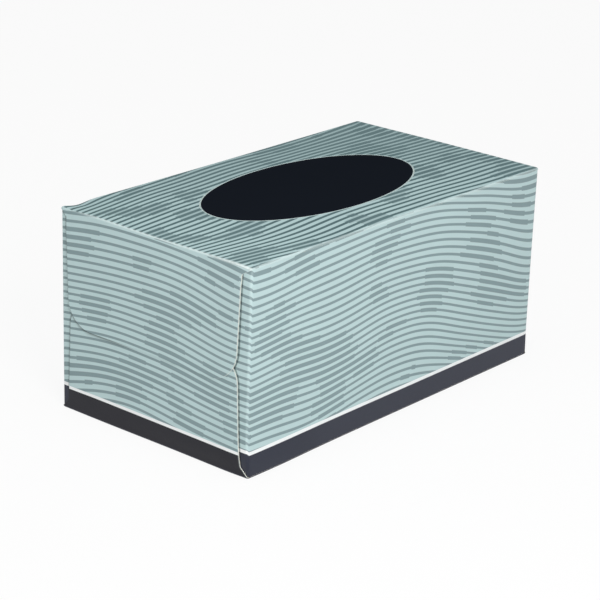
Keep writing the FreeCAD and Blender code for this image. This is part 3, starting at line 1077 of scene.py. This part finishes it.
# the flaps' band is painted darker than the walls' as shade
flapMaterial = makeWallPrint("printedFlaps", inksAndShades["shadedEndBand"], wallPrint["flapBandTop"],
                             wallPrint["flapWhiteTop"], True)
topMaterial = makeTopPrint()
baseMaterial = makePlainBoard("plainBase", inksAndShades["ground"], finishes["base"])
rawMaterial = makePlainBoard("rawBoard", inksAndShades["board"], finishes["raw"])
print("materials ready")

buildSleeve({"wall": wallMaterial, "top": topMaterial, "base": baseMaterial, "raw": rawMaterial})
for endName, side in (("Near", -1), ("Far", 1)):
    buildFlap("lowerFlap" + endName, lowerFlap, side, [flapMaterial, rawMaterial])
    buildFlap("upperFlap" + endName, upperFlap, side, [flapMaterial, rawMaterial])
print("carton built")


# Studio: pale floor, white surround and soft lamps
studio = {
    "floorSize": 8.0,
    "floorColour": srgb(240, 240, 240),
    "floorFleck": srgb(244, 244, 244),
    "fleckScale": 30,
    "floorRoughness": 0.9,
    "floorGlow": 0.9,  # how far the floor is lifted to white for the camera
    "surround": 0.425,  # plain light from all round
    "aim": (0, 0, 0.05),
    "lamps": [  # name, place, size, power
        ("keyLamp", (-0.42, -0.62, 0.5), 0.3, 3.8),
        ("fillLamp", (-2.4, 0.6, 1.4), 1.6, 5.5),
        ("topLamp", (-0.3, -0.2, 2.4), 1.8, 11.0),
    ],
}


def shownDirectly(tree):
    # 1 for rays that should see the white background itself
    path = tree.nodes.new("ShaderNodeLightPath").outputs
    seen = addMath(tree, "MAXIMUM", path["Is Camera Ray"], path["Is Glossy Ray"])
    return addMath(tree, "MAXIMUM", seen, path["Is Transmission Ray"])


def makeFloor():
    half = studio["floorSize"] / 2
    mesh = bpy.data.meshes.new("floor")
    corners = [(-half, -half, 0), (half, -half, 0), (half, half, 0), (-half, half, 0)]
    mesh.from_pydata(corners, [], [(0, 1, 2, 3)])
    material, tree, shader = newMaterial("floorPaper", 0.0)
    shader.inputs["Roughness"].default_value = studio["floorRoughness"]
    fleck = addNoise(tree, objectPosition(tree), studio["fleckScale"], 2)
    paper = addMix(tree, fleck, studio["floorColour"], studio["floorFleck"])
    tree.links.new(paper, shader.inputs["Base Color"])
    glow = tree.nodes.new("ShaderNodeEmission")
    blend = tree.nodes.new("ShaderNodeMixShader")
    tree.links.new(addMath(tree, "MULTIPLY", shownDirectly(tree), studio["floorGlow"]), blend.inputs[0])
    tree.links.new(shader.outputs[0], blend.inputs[1])
    tree.links.new(glow.outputs[0], blend.inputs[2])
    tree.links.new(blend.outputs[0], tree.nodes["Material Output"].inputs["Surface"])
    mesh.materials.append(material)
    floor = bpy.data.objects.new("floor", mesh)
    bpy.context.scene.collection.objects.link(floor)


def makeWorld():
    world = bpy.data.worlds.new("studioAir")
    world.use_nodes = True
    bpy.context.scene.world = world
    tree = world.node_tree
    background = tree.nodes["Background"]
    background.inputs["Color"].default_value = (1.0, 1.0, 1.0, 1.0)
    shown = shownDirectly(tree)
    strength = addMath(tree, "MULTIPLY_ADD", shown, 1 - studio["surround"], studio["surround"])
    tree.links.new(strength, background.inputs["Strength"])


def makeLamps():
    for name, place, size, power in studio["lamps"]:
        lamp = bpy.data.lights.new(name, "AREA")
        lamp.size = size
        lamp.energy = power
        holder = bpy.data.objects.new(name, lamp)
        holder.location = place
        towards = Vector(studio["aim"]) - Vector(place)
        holder.rotation_euler = towards.to_track_quat("-Z", "Y").to_euler()
        bpy.context.scene.collection.objects.link(holder)


makeFloor()
makeWorld()
makeLamps()

view = {
    "place": (-0.81760, -0.67493, 0.43588),
    "azimuth": 50.305,  # from +Y towards +X
    "downward": 20.267,
    "roll": 2.241,
    "lens": 130.924,
    "sensor": 36.0,
}


def makeCamera():
    azimuth, downward, roll = (math.radians(view[name]) for name in ("azimuth", "downward", "roll"))
    forward = Vector((math.sin(azimuth) * math.cos(downward), math.cos(azimuth) * math.cos(downward),
                      -math.sin(downward)))
    level = forward.cross(Vector((0, 0, 1))).normalized()
    upright = level.cross(forward)
    right = level * math.cos(roll) + upright * math.sin(roll)
    up = upright * math.cos(roll) - level * math.sin(roll)
    camera = bpy.data.cameras.new("studioCamera")
    camera.lens = view["lens"]
    camera.sensor_width = view["sensor"]
    holder = bpy.data.objects.new("studioCamera", camera)
    turn = Matrix((right, up, -forward)).transposed()
    holder.matrix_world = Matrix.Translation(view["place"]) @ turn.to_4x4()
    bpy.context.scene.collection.objects.link(holder)
    bpy.context.scene.camera = holder


makeCamera()
bpy.context.scene.view_settings.view_transform = "Standard"
print("studio ready")
